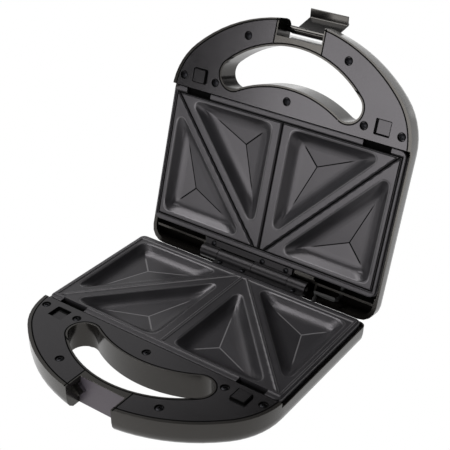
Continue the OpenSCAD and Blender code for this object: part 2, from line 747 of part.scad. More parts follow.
module base_shell() {
    color(shell_black) base_frame() {
        difference() {
            union() {
                shell(base_half, true);
                box([knuckles[0][0], base_rear - shell_wall, -hinge_block_z],
                    [knuckles[1][1], leaf_rear, leaf_z - leaf_t]);
            }
            leaf_screw_holes();
            for (q = [[inlet_x, inlet_z, bush_r + pin_gap], [link_x, link_z, lead_r + fit_gap]])
                translate([q[0], -shell_wall, q[1]]) rotate([-90, 0, 0]) cylinder(r = q[2], h = 3 * shell_wall);
        }
        for (s = [-1, 1]) scale([s, 1, 1]) translate([0, slot_y + slot_wall, hook_z + fit_gap]) rotate([90, 0, 0])
            linear_extrude(slot_y + slot_wall - latch_pin_y + nib_front)
                polygon([[clip_w / 2 - nib_grip, 0], [slot_w / 2 + slot_wall / 2, 0],
                    [slot_w / 2 + slot_wall / 2, nib_h], [clip_w / 2 - nib_grip, nib_edge]]);
    }
}

module base_handle_cover() {
    base_frame() handle_cover();
}

module base_cover_screws() {
    base_frame() cover_screw_set();
}

module lower_plate() {
    base_frame() cooking_plate(true)
        box([-thermostat_r, -pad_u - thermostat_r, pad_z], [thermostat_r, -thermostat_u + thermostat_r, -1]);
}

module lower_plate_screws() {
    base_frame() plate_screw_set();
}

module lower_element() {
    base_frame() element();
}

module lower_element_clamps() {
    base_frame() clamps();
}

module lower_reflector() {
    base_frame() reflector(true);
}

module base_hinge_leaf() {
    base_frame() hinge_leaf(0, pin_r + 0.02);
}

module base_hinge_screws() {
    base_frame() leaf_screw_set();
}

module hinge_pin() {
    color("#b9b7b2") base_frame() translate([0, hinge_reach, 0]) rod_x(pin_r, -barrel_l / 2, barrel_l / 2);
}

module thermostat() {
    color("#b3aa93") base_frame() translate([0, -thermostat_u, 0]) {
        translate([0, 0, pad_z - thermostat_h]) cylinder(r = thermostat_r, h = thermostat_h);
        for (s = [-1, 1]) box([s * 4 - 1.5, -0.4, pad_z - thermostat_h - 3], [s * 4 + 1.5, 0.4, pad_z - thermostat_h]);
    }
}

module thermal_fuse() {
    color("#d7d3c8") base_frame() translate([0, -pad_u, pad_z - fuse_r]) rotate([90, 0, 0])
        translate([0, 0, -fuse_l / 2]) cylinder(r = fuse_r, h = fuse_l);
}

module terminal_block() {
    color("#e3ddd0") base_frame() translate([block_at[0], block_at[1], shell_wall - shell_depth]) difference() {
        box([-block_size[0] / 2, -block_size[1] / 2, 0], block_size / 2 + [0, 0, block_size[2] / 2]);
        for (x = [-8, 0, 8]) translate([x, 0, block_size[2] - 4]) cylinder(r = 2, h = 4 + over, $fn = 24);
    }
}

module supply_bush() {
    color("#161616") base_frame() translate([inlet_x, 0, inlet_z]) rotate([-90, 0, 0]) difference() {
        union() {
            cylinder(r = bush_r, h = base_rear + bush_lip);
            translate([0, 0, base_rear + pin_gap]) cylinder(r = bush_r + 2, h = bush_lip - pin_gap);
        }
        translate([0, 0, -over]) cylinder(r = inlet_r, h = base_rear + bush_lip + 2 * over);
    }
}

module supply_leads() {
    color("#8a5a3c") base_frame() {
        block_x = block_size[0] / 2;
        lead([[inlet_x, -inlet_clear, inlet_z], [inlet_x, -inlet_clear - 2, inlet_z], [inlet_x + 3, -8, block_z],
            [block_at[0] - block_x - 8, block_at[1], block_z], [block_at[0] - block_x, block_at[1], block_z]], 1.5);
        lead([[-element_end, -element_rear, element_z - element_drop], [-element_end, -element_rear, block_z + 1],
            [block_at[0] + block_x + 5, block_at[1], block_z + 1],
            [block_at[0] + block_x, block_at[1], block_z + 1]], 1.2);
    }
}

module thermostat_lead() {
    color("#c9c2ae") base_frame() lead([[-4, -thermostat_u, pad_z - thermostat_h - 3],
        [-4, -thermostat_u, block_z], [block_at[0], block_at[1] - block_size[1] / 2 - 6, block_z],
        [block_at[0], block_at[1] - block_size[1] / 2, block_z]], 1.2);
}

module base_link_lead() {
    low = shell_wall - shell_depth + lead_r + 0.7;
    color("#232323") base_frame() lead([[block_at[0] + block_size[0] / 2, block_at[1], low],
        [link_x - 12, block_at[1], low], [link_x, -8, low + 4], [link_x, -5, link_z], [link_x, 7, link_z],
        [link_x, hinge_reach, -5], [link_x, hinge_reach, 0], [link_joint_x - pin_gap, hinge_reach, 0]], lead_r);
}

module rubber_feet() {
    color("#111111") base_frame() difference() {
        at_spots(foot_spots) translate([0, 0, -foot_z]) cylinder(r = foot_r, h = 2 * foot_h + 2);
        shell_solid(base_half, 0, 0, 0);
    }
}

// ---------- Sub-parts of the lid ----------

module lid_shell() {
    color(shell_black) lid_frame() {
        difference() {
            shell(lid_half, false) {
                box([-shell_half_w, leaf_rear, -shell_depth], [shell_half_w, leaf_rear + bulkhead_t, -partition_z]);
                for (s = [-1, 1]) box([s * 58 - 1, leaf_rear, -shell_depth], [s * 58 + 1, lid_rear, -partition_z]);
                for (s = [-1, 1]) translate([s * (slot_w / 2 + pin_boss_l / 2), latch_pin_y, -latch_pin_z])
                    rod_x(latch_pin_r + 2.5, -pin_boss_l / 2, pin_boss_l / 2);
                for (s = [-1, 1]) translate([s * board_post_x, -lamp_u, -shell_depth])
                    cylinder(r = 2.5, h = shell_depth + board_z - board_t);
            }
            translate([0, latch_pin_y, -latch_pin_z])
                rod_x(latch_pin_r + 0.02, -slot_w / 2 - pin_hold, slot_w / 2 + pin_hold);
            for (s = [-1, 1]) translate([s * lamp_x, -lamp_u, -shell_depth - over])
                cylinder(r = lens_r + pin_gap, h = shell_wall + 2 * over);
            translate([-link_in_x, leaf_rear - over, link_z]) rotate([-90, 0, 0])
                cylinder(r = lead_r + fit_gap, h = bulkhead_t + 2 * over);
        }
        difference() {
            box([-knuckles[1][1] - 2, plate_rib + 2 * fit_gap, -hinge_block_z],
                [knuckles[1][1] + 2, leaf_rear + bulkhead_t, leaf_z - leaf_t]);
            box([-barrel_l, leaf_rear - bulkhead_t, -partition_z], [knuckles[0][0] - over, leaf_rear + 3, over]);
            leaf_screw_holes();
        }
    }
}

module lid_handle_cover() {
    lid_frame() handle_cover();
}

module lid_cover_screws() {
    lid_frame() cover_screw_set();
}

module upper_plate() {
    lid_frame() cooking_plate(false);
}

module upper_plate_screws() {
    lid_frame() plate_screw_set();
}

module upper_element() {
    lid_frame() element();
}

module upper_element_clamps() {
    lid_frame() clamps();
}

module upper_reflector() {
    lid_frame() reflector(false);
}

module lid_hinge_leaf() {
    lid_frame() hinge_leaf(closed_gap, pin_r + pin_gap);
}

module lid_hinge_screws() {
    lid_frame() leaf_screw_set();
}

module lid_link_lead() {
    color("#232323") lid_frame() lead([[-link_joint_x - pin_gap, hinge_reach, closed_gap],
        [-link_in_x, hinge_reach, closed_gap], [-link_in_x, hinge_reach + 1.5, -5], [-link_in_x, hinge_reach, link_z],
        [-link_in_x, -4, link_z - 1], [-link_in_x, -4.5, board_z], [-60, -element_rear, board_z - 1],
        [-element_end, -element_rear, board_z - 1]], lead_r);
}

module lamp_board() {
    color("#2f5d3a") lid_frame() translate([0, -lamp_u, board_z - board_t])
        box(concat(-board_half, [0]), concat(board_half, [board_t]));
}

module lamp(s) {
    translate([s * lamp_x, -lamp_u, board_z - board_t - lamp_h]) cylinder(r = lens_r - 0.8, h = lamp_h, $fn = 24);
}

module power_lamp() {
    color("#d9a58a") lid_frame() lamp(1);
}

module ready_lamp() {
    color("#a9c7a0") lid_frame() lamp(-1);
}

module lens(s) {
    translate([s * lamp_x, -lamp_u, -shell_depth]) {
        cylinder(r = lens_r, h = shell_wall);
        translate([0, 0, -0.8]) cylinder(r = lens_r + 0.8, h = 0.8);
    }
}

module power_lens() {
    color("#b3201c") lid_frame() lens(1);
}

module ready_lens() {
    color("#1f8a3a") lid_frame() lens(-1);
}

module latch_pin() {
    color("#b9b7b2") lid_frame() translate([0, latch_pin_y, -latch_pin_z])
        rod_x(latch_pin_r, -slot_w / 2 - pin_hold, slot_w / 2 + pin_hold);
}

module latch_clip() {
    clip_frame() clip();
}

base_shell();
base_handle_cover();
base_cover_screws();
lower_plate();
lower_plate_screws();
lower_element();
lower_element_clamps();
lower_reflector();
base_hinge_leaf();
base_hinge_screws();
hinge_pin();
thermostat();
thermal_fuse();
terminal_block();
supply_bush();
supply_leads();
thermostat_lead();
base_link_lead();
rubber_feet();
lid_shell();
lid_handle_cover();
lid_cover_screws();
upper_plate();
upper_plate_screws();
upper_element();
upper_element_clamps();
upper_reflector();
lid_hinge_leaf();
lid_hinge_screws();
lid_link_lead();
lamp_board();
power_lamp();
ready_lamp();
power_lens();
ready_lens();
latch_pin();
latch_clip();
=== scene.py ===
"""Open sandwich toaster: the looks of its moulded shells, cooking plates, hinge, latch and screws."""

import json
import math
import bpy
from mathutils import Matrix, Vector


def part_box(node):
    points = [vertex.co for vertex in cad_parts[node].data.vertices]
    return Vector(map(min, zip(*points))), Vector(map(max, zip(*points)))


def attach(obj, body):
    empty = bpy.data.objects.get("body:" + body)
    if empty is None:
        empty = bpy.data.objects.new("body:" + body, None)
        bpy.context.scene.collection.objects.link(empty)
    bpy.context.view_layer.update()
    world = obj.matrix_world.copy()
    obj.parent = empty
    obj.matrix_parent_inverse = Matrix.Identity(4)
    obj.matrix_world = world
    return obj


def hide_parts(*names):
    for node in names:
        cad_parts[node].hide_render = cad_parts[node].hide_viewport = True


bl_info = {
    "name": "Sandwich toaster",
    "version": (1, 0, 0),
    "blender": (4, 5, 0),
    "location": "View3D > Sidebar > Toaster",
    "description": "Builds the cooking plates, latch clip, screws and finishes of an open sandwich toaster",
    "category": "Object",
}

import bpy
import numpy as np
from bpy.props import FloatProperty, FloatVectorProperty, PointerProperty
from mathutils import Matrix, Vector

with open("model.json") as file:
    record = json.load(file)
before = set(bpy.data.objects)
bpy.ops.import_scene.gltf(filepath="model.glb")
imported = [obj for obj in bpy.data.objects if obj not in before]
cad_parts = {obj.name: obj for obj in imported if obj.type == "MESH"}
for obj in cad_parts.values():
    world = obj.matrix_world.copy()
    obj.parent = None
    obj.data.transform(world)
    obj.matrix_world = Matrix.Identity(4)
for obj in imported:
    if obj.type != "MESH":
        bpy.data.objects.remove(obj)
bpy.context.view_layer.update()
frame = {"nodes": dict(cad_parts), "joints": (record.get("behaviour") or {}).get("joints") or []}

MM = 0.001
HINGE, SWING = frame["joints"]
HINGE_AT = Vector(HINGE["pos_m"])
PIN_AT = Vector(SWING["pos_m"])
OPEN_ANGLE = math.radians(HINGE["range_deg"][1])
CLIP_SWING = math.radians(SWING["range_deg"][1])
CLOSED_GAP = 1.2 * MM
PLATE_RIB = 0.6 * MM
PLATE_LOW, PLATE_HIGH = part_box("lower_plate")
PLATE_REAR = PLATE_HIGH.y - PLATE_RIB

# Notches in a plate's front edge, in its half's frame
NOTCH_X, NOTCH_HALF, NOTCH_DEPTH = 87 * MM, 12.5 * MM, 4 * MM
NOTCH_Y = PLATE_LOW.y + PLATE_RIB + 5 * MM - PLATE_REAR


def half_frame(half):
    """Places a half's own frame, with its lip plane at z = 0 and its plate's rear edge at y = 0."""
    base = Matrix.Translation((0, PLATE_REAR, HINGE_AT.z))
    if half == "base":
        return base
    reach = HINGE_AT.y - PLATE_REAR
    return (base @ Matrix.Translation((0, reach, 0)) @ Matrix.Rotation(-OPEN_ANGLE, 4, "X")
            @ Matrix.Translation((0, -reach, CLOSED_GAP)) @ Matrix.Rotation(math.pi, 4, "Y"))


# ---------- Sizes and colours that a user would change ----------


def length(name, text, default, low=0.0, high=0.5):
    return FloatProperty(name=name, description=text, default=default, min=low, max=high,
                         unit="LENGTH", precision=5)


def colour(name, text, default):
    return FloatVectorProperty(name=name, description=text, default=default, size=3, min=0, max=1,
                               subtype="COLOR")


class ToasterPlateSizes(bpy.types.PropertyGroup):
    width: length("Width", "Width of a cooking plate", PLATE_HIGH.x - PLATE_LOW.x - 2 * PLATE_RIB)
    depth: length("Depth", "Depth of a cooking plate", PLATE_HIGH.y - PLATE_LOW.y - 2 * PLATE_RIB)
    corner: length("Corner radius", "Radius of the plate's corners", 5 * MM)
    lip: length("Lip rounding", "Radius of the lip's edge", 0.8 * MM)
    gap: length("Pocket gap", "Centre line to the front pockets", 8.8 * MM)
    front: length("Front land", "Front edge to the front pockets", 8.5 * MM)
    diagonal: length("Diagonal land", "Diagonal to the pockets beside it", 7 * MM)
    side: length("Side land", "Side edge to the rear pockets", 7.5 * MM)
    rear: length("Rear land", "Rear edge to the rear pockets", 9.5 * MM)
    pocket: length("Pocket depth", "Depth of a pocket at its deepest", 8.3 * MM)
    round: length("Pocket rounding", "Radius of a pocket's corners", 5 * MM)
    seal: length("Seal width", "Width of the ridges and channels", 2.4 * MM)
    ridge: length("Ridge height", "Height of the lower plate's ridges", 0.9 * MM)
    channel: length("Channel depth", "Depth of the upper plate's channels", 1.2 * MM)
    mesh: length("Mesh step", "Spacing of the plate's mesh", 0.62 * MM, 0.3 * MM, 3 * MM)


class ToasterScrewSizes(bpy.types.PropertyGroup):
    cover_r: length("Cover screw", "Radius of a cover screw's head", 2.7 * MM)
    hinge_r: length("Hinge screw", "Radius of a hinge screw's head", 2.3 * MM)
    dome: length("Dome", "Height of a head's dome", 0.55 * MM)
    recess: length("Recess", "Depth of a head's cross", 0.8 * MM)


class ToasterClipSizes(bpy.types.PropertyGroup):
    width: length("Width", "Width of the clip's arm", 36.4 * MM)
    sheet: length("Thickness", "Thickness of the clip", 1.5 * MM)
    reach: length("Reach", "Pin to the hook's face", 29.9 * MM)
    offset: length("Offset", "Pin to the arm's inner face", 3.6 * MM)
    lip: length("Lip", "Reach of the hook past the pin", 3.5 * MM)
    rise: length("Rise", "Slope of the hook over its length", 1.7 * MM)
    curl: length("Curl", "Radius of the bend's outer curl", 1.5 * MM)
    sleeve_r: length("Sleeve radius", "Radius of the sleeve round the pin", 2.9 * MM)
    bore_r: length("Bore radius", "Radius of the sleeve's bore", 1.55 * MM)
    sleeve: length("Sleeve length", "Length of the sleeve", 41.8 * MM)


class ToasterFinishes(bpy.types.PropertyGroup):
    shell: colour("Shell", "Colour of the glossy shells", (0.012, 0.011, 0.010))
    cover: colour("Cover", "Colour of the satin handle covers", (0.007, 0.0068, 0.0072))
    plate: colour("Plate", "Colour of the non-stick coat", (0.016, 0.0155, 0.017))
    screw: colour("Screw", "Colour of the blackened screws", (0.018, 0.018, 0.02))


class ToasterStage(bpy.types.PropertyGroup):
    distance: length("Distance", "Camera to the point it looks at", 0.7489, 0.2, 5)
    azimuth: FloatProperty(name="Azimuth", description="Turn of the camera to the right", subtype="ANGLE",
                           default=math.radians(34.11))
    elevation: FloatProperty(name="Elevation", description="Height angle of the camera", subtype="ANGLE",
                             default=math.radians(30.06))
    roll: FloatProperty(name="Roll", description="Roll of the camera", subtype="ANGLE",
                        default=math.radians(1.55))
    lens: FloatProperty(name="Lens angle", description="Angle of view", subtype="ANGLE",
                        default=2 * math.atan(225 / 1007.6))
    target: FloatVectorProperty(name="Target", description="Point looked at, from the plate's rear edge",
                                subtype="XYZ", unit="LENGTH", default=(0.0293, -0.0770, 0.0952))


# Joints of a handle cover in its half's frame, darkened with painted shade, as circles' centre x, centre y
# and radius in mm. The arcs among them run to a half angle in degrees on each side of the front. The whole
# circles of the cover's corners and of the hole's ends count only past a distance from the middle.
COVER_CREST, COVER_CORNER = (0, -67.4, 134, 45.3), (53.3, -120.2, 59)
HOLE_FRONT, HOLE_END, HOLE_BULGE = (0, -89, 93.5, 44.4), (55.5, -145.6, 14.2), (0, -47.1, 98.9, 29.4)
CORNER_FROM, END_FROM = 93 * MM, 48 * MM

# The cover's face and the latch slot's sides start this far from the plate's rear edge
COVER_START, SLOT_START = 125 * MM, 179.5 * MM
SLOT_HALF = 22.9 * MM

# Moulded squares on a cover: x and distance from the rear edge of their centre, and half width
SQUARE_AT, SQUARE_HALF = (88.2 * MM, 137 * MM), 6.1 * MM

# The ramp in the base's latch slot, painted lighter as a sheen: half width, distance from the rear edge and
# half depth
RAMP_HALF, RAMP_AT, RAMP_DEPTH = 20.8 * MM, 188.5 * MM, 2.2 * MM

# Screws in a half's frame, as x and the distance from the plate's rear edge, in mm
COVER_SCREWS = [(105.3, 134.2), (-105.3, 134.2), (72.1, 134.7), (-72.1, 134.7), (47.6, 180.9), (-47.6, 180.9),
                (0, 136.1)]
HINGE_SCREWS = [(-30, -4), (-6, -4), (45, -4)]

# Heights of the heads' rims, and radius in mm of the gap round a cover screw, darkened with painted shade
COVER_SEAT, HINGE_SEAT = -0.75 * MM, 0.2 * MM
SCREW_RING = 3.15

# Greys of the painted highlights along the plate lines and of the painted sheen on the base's latch ramp
PAINTED_HIGHLIGHT, RAMP_SHEEN = (0.17, 0.165, 0.17), (0.08, 0.07, 0.085)

# Soft lamps: place, point aimed at, size and power in watts
LAMPS = {
    "Front": ((-0.33, -1.7, 0.3), (0, 0, 0.12), (1.38, 0.9), 18.5),
    "Top": ((-0.72, -0.1, 1.35), (0, 0, 0.1), (1.1, 0.6), 15),
    "Left": ((-1.25, 1.1, 0.95), (0, 0, 0.1), (1.2, 1.0), 2.5),
    "Back": ((-0.5, 1.9, 0.3), (0, 0, 0.12), (2.4, 0.7), 5),
}
FILL_LIGHT = 0.045


# ---------- Shader maths ----------


class Sock:
    """A socket whose operators add Math nodes and whose methods add these and others."""

    def __init__(self, maker, socket):
        self.maker, self.socket = maker, socket

    def _math(self, operation, *others):
        return self.maker.node("Math", {"operation": operation}, dict(enumerate((self, *others))))

    def __add__(self, other):
        return self._math("ADD", other)

    def __mul__(self, other):
        return self._math("MULTIPLY", other)

    def __sub__(self, other):
        return self._math("SUBTRACT", other)

    def __rsub__(self, other):
        return self.maker.node("Math", {"operation": "SUBTRACT"}, {0: other, 1: self})

    __radd__, __rmul__ = __add__, __mul__

    def __abs__(self):
        return self._math("ABSOLUTE")

    def low(self, other):
        return self._math("MINIMUM", other)

    def high(self, other):
        return self._math("MAXIMUM", other)

    def over(self, other):
        return self._math("GREATER_THAN", other)

    def root(self):
        return self._math("SQRT")

    def split(self):
        return self.maker.node("SeparateXYZ", {}, {0: self}, None)

    def map(self, low, high, to_low=0.0, to_high=1.0):
        return self.maker.node("MapRange", {}, {"Value": self, "From Min": low, "From Max": high,
                                                "To Min": to_low, "To Max": to_high})


class Shading:
    """The nodes of a material or a world."""

    def __init__(self, tree):
        self.tree = tree

    def feed(self, socket, value):
        if isinstance(value, Sock):
            self.tree.links.new(value.socket, socket)
        else:
            socket.default_value = value

    def node(self, kind, settings, sockets, out=0):
        """Makes a node and gives the output of that name or number, or all of them for None."""
        made = self.tree.nodes.new("ShaderNode" + kind)
        for key, value in settings.items():
            setattr(made, key, value)
        for key, value in sockets.items():
            self.feed(made.inputs[key], value)
        if out is None:
            return [Sock(self, socket) for socket in made.outputs]
        return Sock(self, made.outputs[out])


class Mat(Shading):
    """A material with one Principled shader."""

    def __init__(self, name):
        self.material = bpy.data.materials.new(name)
        self.material.use_nodes = True
        super().__init__(self.material.node_tree)
        self.tree.nodes.clear()
        self.out = self.tree.nodes.new("ShaderNodeOutputMaterial")
        self.shader = self.tree.nodes.new("ShaderNodeBsdfPrincipled")
        self.tree.links.new(self.shader.outputs[0], self.out.inputs[0])
        self.place = self.node("TexCoord", {}, {}, "Object")

    def in_half(self, half):
        """Object coordinates turned into a half's own frame, as three sockets."""
        turn = half_frame(half).inverted()
        return self.node("Mapping", {}, {"Vector": self.place, "Location": turn.to_translation(),
                                         "Rotation": turn.to_euler()}).split()

    def cover_gap_shade(self, half):
        """Mask of painted shade: 1 on the gap between a handle cover and its shell, 0 away from it."""
        x, y, z = self.in_half(half)
        ax = abs(x)

        def ring(arc):
            """Distance from a whole circle, on both sides of the middle."""
            dx, dy = ax - arc[0] * MM, y - arc[1] * MM
            return abs((dx * dx + dy * dy).root() - arc[2] * MM)

        def arc_only(arc):
            """The same, with a metre added past the arc's half angle."""
            dx, dy = ax - arc[0] * MM, y - arc[1] * MM
            return ring(arc) + (1 - (dy * -math.tan(math.radians(arc[3]))).over(dx))

        near = arc_only(COVER_CREST).low(ring(COVER_CORNER) + ax.map(CORNER_FROM - 1 * MM, CORNER_FROM, 1, 0))
        near = near.low(arc_only(HOLE_FRONT)).low(ring(HOLE_END) + ax.map(END_FROM, END_FROM + 1 * MM, 1, 0))
        near = near.low(arc_only(HOLE_BULGE))
        near = near.low(abs(ax - SLOT_HALF) + y.map(-SLOT_START, -SLOT_START + 0.5 * MM))
        # Every second screw is enough, because each circle counts on both sides
        for spot_x, spot_u in COVER_SCREWS[::2]:
            near = near.low(ring((abs(spot_x), -spot_u, SCREW_RING)))
        on_face = z.map(-0.6 * MM, -0.4 * MM) * y.map(-COVER_START - 0.2 * MM, -COVER_START + 0.2 * MM, 1, 0)
        return near.map(0.42 * MM, 0.78 * MM, 1, 0) * on_face

    def stored(self, name, out="Vector"):
        return self.node("Attribute", {"attribute_name": name}, {}, out)

    def cross_fade(self, amount, other):
        """Shows another shader's output instead of the surface where amount is 1."""
        mixed = self.node("MixShader", {}, {0: amount, 1: Sock(self, self.shader.outputs[0]), 2: other})
        self.feed(self.out.inputs[0], mixed)

    def paint_black_shade(self, amount):
        """Fades the surface to a dull black where amount is 1, as painted shade."""
        self.cross_fade(amount, self.node("BsdfPrincipled", {}, {
            "Base Color": (0.0015, 0.0015, 0.0015, 1), "Roughness": 0.8, "Specular IOR Level": 0.05}))

    def noise(self, scale, detail=3.0, rough=0.5):
        return self.node("TexNoise", {}, {"Vector": self.place, "Scale": scale, "Detail": detail,
                                          "Roughness": rough})

    def bump(self, height, strength, distance):
        return self.node("Bump", {}, {"Height": height, "Strength": strength, "Distance": distance})

    def mix(self, amount, first, second):
        """Mixes a colour or a colour socket with a colour."""
        first = first if isinstance(first, Sock) else (*first, 1)
        return self.node("Mix", {"data_type": "RGBA"}, {0: amount, 6: first, 7: (*second, 1)}, 2)

    def set(self, **values):
        for key, value in values.items():
            self.feed(self.shader.inputs[key.replace("_", " ")], value)


def scaled(rgb, factor):
    return tuple(min(1.0, c * factor) for c in rgb)


def gloss_shell(name, rgb, half=None):
    """Moulded gloss plastic: faint waves, smears and dust, painted shade in the gap round a handle cover, and
    a painted lighter sheen on the base's latch ramp, which is rougher too.
    """
    m = Mat(name)
    waves = m.noise(38, 2, 0.4)
    smear = m.noise(21, 4, 0.6).map(0.35, 0.75)
    dust = m.noise(2600, 1, 0.5).map(0.66, 0.8)
    coat = m.mix(dust * 0.35 + smear * 0.12, rgb, scaled(rgb, 3.2))
    rough = smear * 0.08 + dust * 0.2 + 0.16
    if half:
        # Painted shade in the gap round the handle cover
        m.paint_black_shade(m.cover_gap_shade(half))
    if half == "base":
        x, y, z = m.in_half("base")
        edge = 0.2 * MM
        ramp = (abs(x).map(RAMP_HALF - edge, RAMP_HALF + edge, 1, 0)
                * abs(y + RAMP_AT).map(RAMP_DEPTH - edge, RAMP_DEPTH + edge, 1, 0)
                * z.map(-0.5 * MM, -0.2 * MM, 1, 0))
        # Painted lighter sheen on the latch ramp, which is also rougher
        coat = m.mix(ramp, coat, RAMP_SHEEN)
        rough = rough + ramp * 0.2
    m.set(Base_Color=coat, Roughness=rough, Normal=m.bump(waves, 0.04, 0.0008),
          Specular_IOR_Level=0.5, Specular_Tint=(1, 0.95, 0.89, 1))
    return m.material


def satin_cover(name, rgb, half=None, rough=0.13, shine=0.5):
    """Satin plastic with a fine spark-eroded grain, and black painted shade in the gaps round a cover and its
    two squares.
    """
    m = Mat(name)
    if half:
        x, y, _ = m.in_half(half)
        off = abs(abs(x) - SQUARE_AT[0]).high(abs(y + SQUARE_AT[1]))
        # Painted shade: a black line along each square's step and a fainter darkening across its inside
        outline = (off.map(SQUARE_HALF - 0.9 * MM, SQUARE_HALF - 0.5 * MM)
                   * off.map(SQUARE_HALF + 0.3 * MM, SQUARE_HALF + 0.7 * MM, 1, 0))
        shade = off.map(SQUARE_HALF - 0.8 * MM, SQUARE_HALF, 0.15, 0)
        m.paint_black_shade(outline.high(shade).high(m.cover_gap_shade(half)))
    grain = m.noise(1900, 2, 0.6)
    cloud = m.noise(26, 3, 0.5).map(0.3, 0.7)
    m.set(Base_Color=m.mix(cloud * 0.5 + grain * 0.2, rgb, scaled(rgb, 1.7)),
          Roughness=grain * 0.08 + cloud * 0.05 + rough, Normal=m.bump(grain, 0.08, 0.0002),
          Specular_IOR_Level=shine, Specular_Tint=(1, 0.95, 1, 1))
    return m.material


def nonstick(name, rgb, half):
    """Pebbled non-stick coat with fine specks, painted highlights along lips, the lower plate's creases and
    ridge edges, and painted shade in the upper plate's creases and channels and in the notches.
    """
    m = Mat(name)
    _, y, z = m.in_half(half)
    # Painted shade on the floor of each notch in the front edge
    notch = (z.map(0.4 * MM - NOTCH_DEPTH, 0.8 * MM - NOTCH_DEPTH, 1, 0)
             * y.map(NOTCH_Y - 0.2 * MM, NOTCH_Y + 0.2 * MM, 1, 0))
    pebble = m.noise(1500, 3, 0.6)
    speck = m.noise(4200, 1, 0.5).map(0.7, 0.78)
    cloud = m.noise(30, 3, 0.55).map(0.3, 0.7)
    one, two, three = m.stored("walls").split()
    near = one.low(two).low(three)
    mid = one.low(two).high(one.high(two).low(three))
    # Creases where two pocket walls meet, and the pockets' lips, for painted highlight or painted shade
    crease = (mid - near).map(0.5 * MM, 1.25 * MM, 1, 0) * near.map(11.5 * MM, 13.5 * MM)
    lip = abs(m.stored("lips", "Fac") - 0.2 * MM).map(0.3 * MM, 0.7 * MM, 0.55, 0)
    diagonal, middle, edge = m.stored("seams").split()
    beyond_frame = edge * -40
    line = abs(edge).low(abs(diagonal).low(abs(middle)).high(beyond_frame))
    coat = m.mix(cloud * 0.4 + speck * 0.3, rgb, scaled(rgb, 2.2))
    if half == "base":
        # Painted highlights along both edges of the lower plate's ridges, fainter along the front edge
        rims = line.map(0.5 * MM, 0.9 * MM) * line.map(1.1 * MM, 1.6 * MM, 1, 0)
        rims = rims * y.map(NOTCH_Y + 2.5 * MM, NOTCH_Y + 4 * MM, 0.25, 1)
        light = rims.high(crease).high(lip * 0.6)
        m.paint_black_shade(notch)
    else:
        light = lip
        # Painted shade in the upper plate's channels and creases and in its notches
        m.paint_black_shade(line.map(0.5 * MM, 1.05 * MM, 1, 0).high(crease).high(notch))
    # Painted highlights laid into the coat's colour
    coat = m.mix(light, coat, PAINTED_HIGHLIGHT)
    m.set(Base_Color=coat, Roughness=pebble * 0.1 + cloud * 0.05 + 0.29, Normal=m.bump(pebble, 0.16, 0.00025),
          Specular_IOR_Level=0.55, Specular_Tint=(1, 0.95, 1, 1))
    return m.material


def plain_metal(name, rgb, rough):
    """Rolled or turned metal with drawn scratches."""
    m = Mat(name)
    along = m.node("Mapping", {}, {"Vector": m.place, "Scale": (40, 2400, 2400)})
    drawn = m.node("TexNoise", {}, {"Vector": along, "Scale": 1.0, "Detail": 2.0})
    m.set(Base_Color=m.mix(drawn, scaled(rgb, 0.8), scaled(rgb, 1.2)), Metallic=1.0,
          Roughness=drawn * 0.2 + rough, Normal=m.bump(drawn, 0.08, 0.0001))
    return m.material


def soft_plastic(name, rgb, rough, grain_scale=1400, transmission=0.0):
    """Rubber or plain plastic with a fine grain."""
    m = Mat(name)
    grain = m.noise(grain_scale, 2, 0.5)
    m.set(Base_Color=m.mix(grain, scaled(rgb, 0.85), scaled(rgb, 1.2)), Roughness=grain * 0.15 + rough,
          Normal=m.bump(grain, 0.12, 0.0002), Transmission_Weight=transmission)
    return m.material


# ---------- Shared makers ----------


def new_piece(name, vertices, faces, material, smooth=math.radians(40)):
    """A mesh object at the origin, shaded smooth below an angle."""
    mesh = bpy.data.meshes.new(name)
    mesh.from_pydata([tuple(v) for v in vertices], [], [tuple(f) for f in faces])
    mesh.validate()
    mesh.materials.append(material)
    mesh.shade_smooth()
    mesh.set_sharp_from_angle(angle=smooth)
    obj = bpy.data.objects.new(name, mesh)
    bpy.context.scene.collection.objects.link(obj)
    return obj


def smooth_tree():
    """Geometry Nodes that shade a surface smooth where its faces meet below an angle."""
    tree = bpy.data.node_groups.new("Moulded surface", "GeometryNodeTree")
    tree.interface.new_socket("Geometry", in_out="INPUT", socket_type="NodeSocketGeometry")
    tree.interface.new_socket("Smooth below", in_out="INPUT", socket_type="NodeSocketFloat")
    tree.interface.new_socket("Geometry", in_out="OUTPUT", socket_type="NodeSocketGeometry")
    start, end = tree.nodes.new("NodeGroupInput"), tree.nodes.new("NodeGroupOutput")
    angle = tree.nodes.new("GeometryNodeInputMeshEdgeAngle")
    sharp = tree.nodes.new("FunctionNodeCompare")
    sharp.operation = "GREATER_THAN"
    faces = tree.nodes.new("GeometryNodeSetShadeSmooth")
    edges = tree.nodes.new("GeometryNodeSetShadeSmooth")
    edges.domain = "EDGE"
    edges.inputs["Shade Smooth"].default_value = False
    link = tree.links.new
    link(start.outputs[0], faces.inputs[0])
    link(faces.outputs[0], edges.inputs[0])
    link(angle.outputs["Unsigned Angle"], sharp.inputs[0])
    link(start.outputs[1], sharp.inputs[1])
    link(sharp.outputs[0], edges.inputs["Selection"])
    link(edges.outputs[0], end.inputs[0])
    return tree


